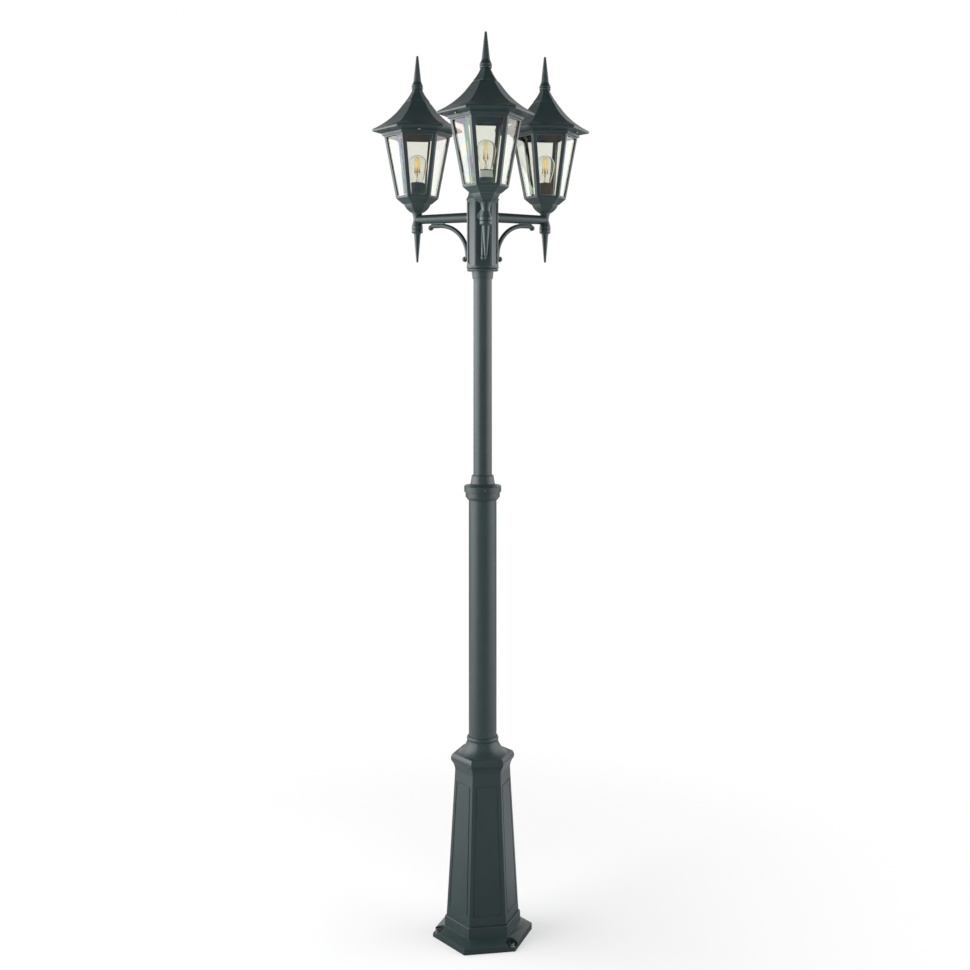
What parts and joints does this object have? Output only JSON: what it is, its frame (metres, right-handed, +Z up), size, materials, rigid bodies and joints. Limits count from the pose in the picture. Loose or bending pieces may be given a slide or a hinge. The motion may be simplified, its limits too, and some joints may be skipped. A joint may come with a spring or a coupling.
{
  "type": "triple head lamp post",
  "caption": "Garden lamp post with a hexagonal pedestal, a stepped round post and hexagonal lanterns on level arms with scroll brackets and drop points.",
  "frame": {"origin": "on the post's axis at the underside of the foot flange, at ground level", "axes": "+Z up along the post; -Y along the front arm; the other arms lie at 120 degrees either side"},
  "size_m": [0.6128, 0.5402, 2.4216],
  "materials": {
    "powder_coat": "satin graphite powder coat",
    "cast_coat": "satin graphite powder coat, faint cast grain",
    "tube_coat": "satin graphite powder coat, smooth",
    "galvanised": "dull zinc",
    "dark_screw": "blackened",
    "bush_plastic": "matt",
    "pane": "clear, bevelled at its edges",
    "bulb_glass": "clear",
    "cap_metal": "rolled thread, bright",
    "filament": "yellow coated rods",
    "holder_black": "matt moulded",
    "holder_pale": "bare, off-white",
    "terminal_plastic": "matt"
  },
  "bodies": {
    "post": {"base_pedestal": "cast_coat", "anchor_washers": "galvanised", "anchor_nuts": "dark_screw", "lower_tube": "tube_coat", "collar": "cast_coat", "collar_screws": "dark_screw", "guide_bush": "bush_plastic", "upper_tube": "tube_coat"},
    "head": {"capital_neck": "cast_coat", "capital_body": "cast_coat", "capital_cap": "cast_coat", "terminal_block": "terminal_plastic", "lantern_stems": "galvanised", "front_pale_collar": "holder_pale", "front_arm": "powder_coat", "front_scroll": "powder_coat", "front_pendant": "powder_coat", "front_lantern_base": "cast_coat", "front_cage": "cast_coat", "front_glass": "pane", "front_lampholder": "holder_black", "right_arm": "powder_coat", "right_scroll": "powder_coat", "right_pendant": "powder_coat", "right_lantern_base": "cast_coat", "right_cage": "cast_coat", "right_glass": "pane", "right_lampholder": "holder_black", "left_arm": "powder_coat", "left_scroll": "powder_coat", "left_pendant": "powder_coat", "left_lantern_base": "cast_coat", "left_cage": "cast_coat", "left_glass": "pane", "left_lampholder": "holder_black"},
    "front_roof_group": {"front_roof": "cast_coat", "front_roof_cap": "cast_coat", "front_finial": "powder_coat", "front_roof_screws": "dark_screw"},
    "front_lamp": {"front_lamp_cap": "cap_metal", "front_lamp_glass": "bulb_glass", "front_lamp_filament": "filament"},
    "right_roof_group": {"right_roof": "cast_coat", "right_roof_cap": "cast_coat", "right_finial": "powder_coat", "right_roof_screws": "dark_screw"},
    "right_lamp": {"right_lamp_cap": "cap_metal", "right_lamp_glass": "bulb_glass", "right_lamp_filament": "filament"},
    "left_roof_group": {"left_roof": "cast_coat", "left_roof_cap": "cast_coat", "left_finial": "powder_coat", "left_roof_screws": "dark_screw"},
    "left_lamp": {"left_lamp_cap": "cap_metal", "left_lamp_glass": "bulb_glass", "left_lamp_filament": "filament"}
  },
  "joints": [
    {"name": "head_turn", "type": "hinge", "parent": "post", "child": "head", "pos_m": [0, 0, 1.8], "axis": [0, 0, 1], "range_deg": [-180, 180]},
    {"name": "front_roof_lift", "type": "slide", "parent": "head", "child": "front_roof_group", "axis": [0, 0, 1], "range_m": [0, 0.12]},
    {"name": "front_lamp_unscrew", "type": "slide", "parent": "head", "child": "front_lamp", "axis": [0, 0, 1], "range_m": [0, 0.018]},
    {"name": "right_roof_lift", "type": "slide", "parent": "head", "child": "right_roof_group", "axis": [0, 0, 1], "range_m": [0, 0.12]},
    {"name": "right_lamp_unscrew", "type": "slide", "parent": "head", "child": "right_lamp", "axis": [0, 0, 1], "range_m": [0, 0.018]},
    {"name": "left_roof_lift", "type": "slide", "parent": "head", "child": "left_roof_group", "axis": [0, 0, 1], "range_m": [0, 0.12]},
    {"name": "left_lamp_unscrew", "type": "slide", "parent": "head", "child": "left_lamp", "axis": [0, 0, 1], "range_m": [0, 0.018]}
  ]
}
